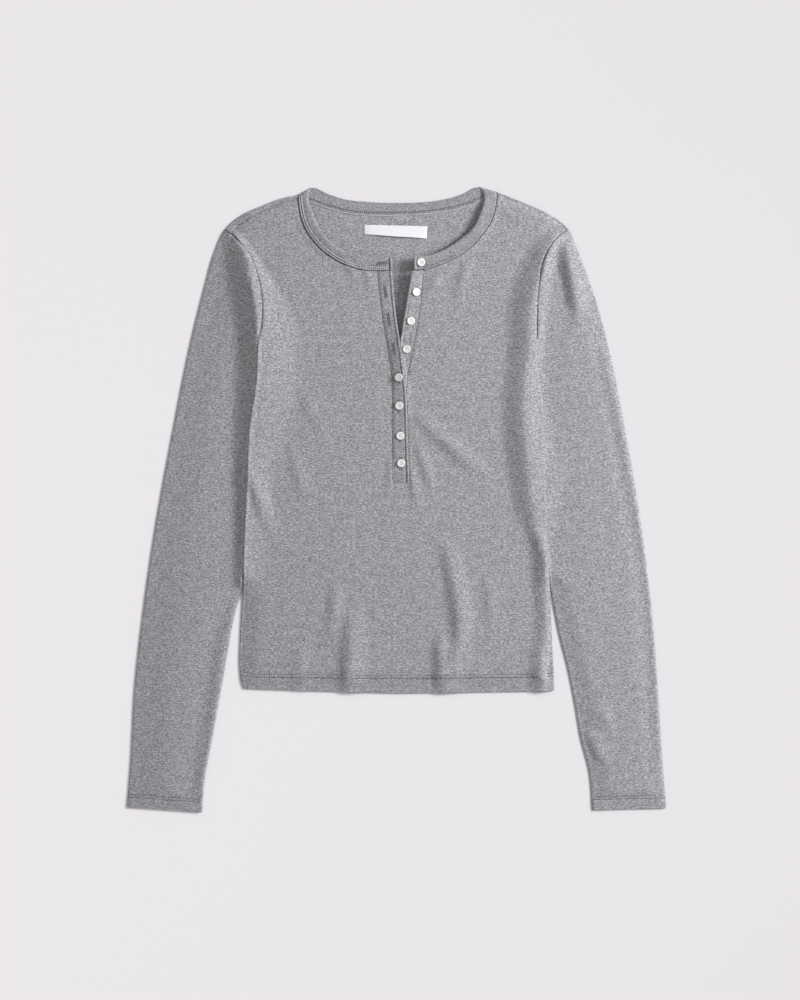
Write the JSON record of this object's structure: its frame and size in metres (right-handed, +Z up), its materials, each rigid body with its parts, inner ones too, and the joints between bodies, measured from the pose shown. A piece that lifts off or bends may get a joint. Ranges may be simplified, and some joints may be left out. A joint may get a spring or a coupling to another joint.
{
  "type": "henley shirt",
  "caption": "Long-sleeved jersey henley shirt laid flat, with a round neckband and a buttoned front placket that is open at the top.",
  "frame": {"origin": "on the table under the middle of the laid-out shirt", "axes": "+X towards the wearer's left sleeve, +Y towards the neck, +Z up out of the front"},
  "size_m": [0.5936, 0.6876, 0.0108],
  "materials": {
    "jersey": "matt heather grey cotton jersey",
    "band": "matt heather grey cotton jersey, doubled",
    "button": "pearly white",
    "label": "white woven tape"
  },
  "bodies": {
    "root": {"back_panel": "jersey", "front_panel": "jersey", "right_sleeve": "jersey", "left_sleeve": "jersey", "neckband": "band", "placket_under": "band", "placket_over": "band", "button_1": "button", "button_2": "button", "button_3": "button", "button_4": "button", "button_5": "button", "button_6": "button", "button_7": "button", "button_8": "button", "neck_label": "label"}
  },
  "joints": []
}
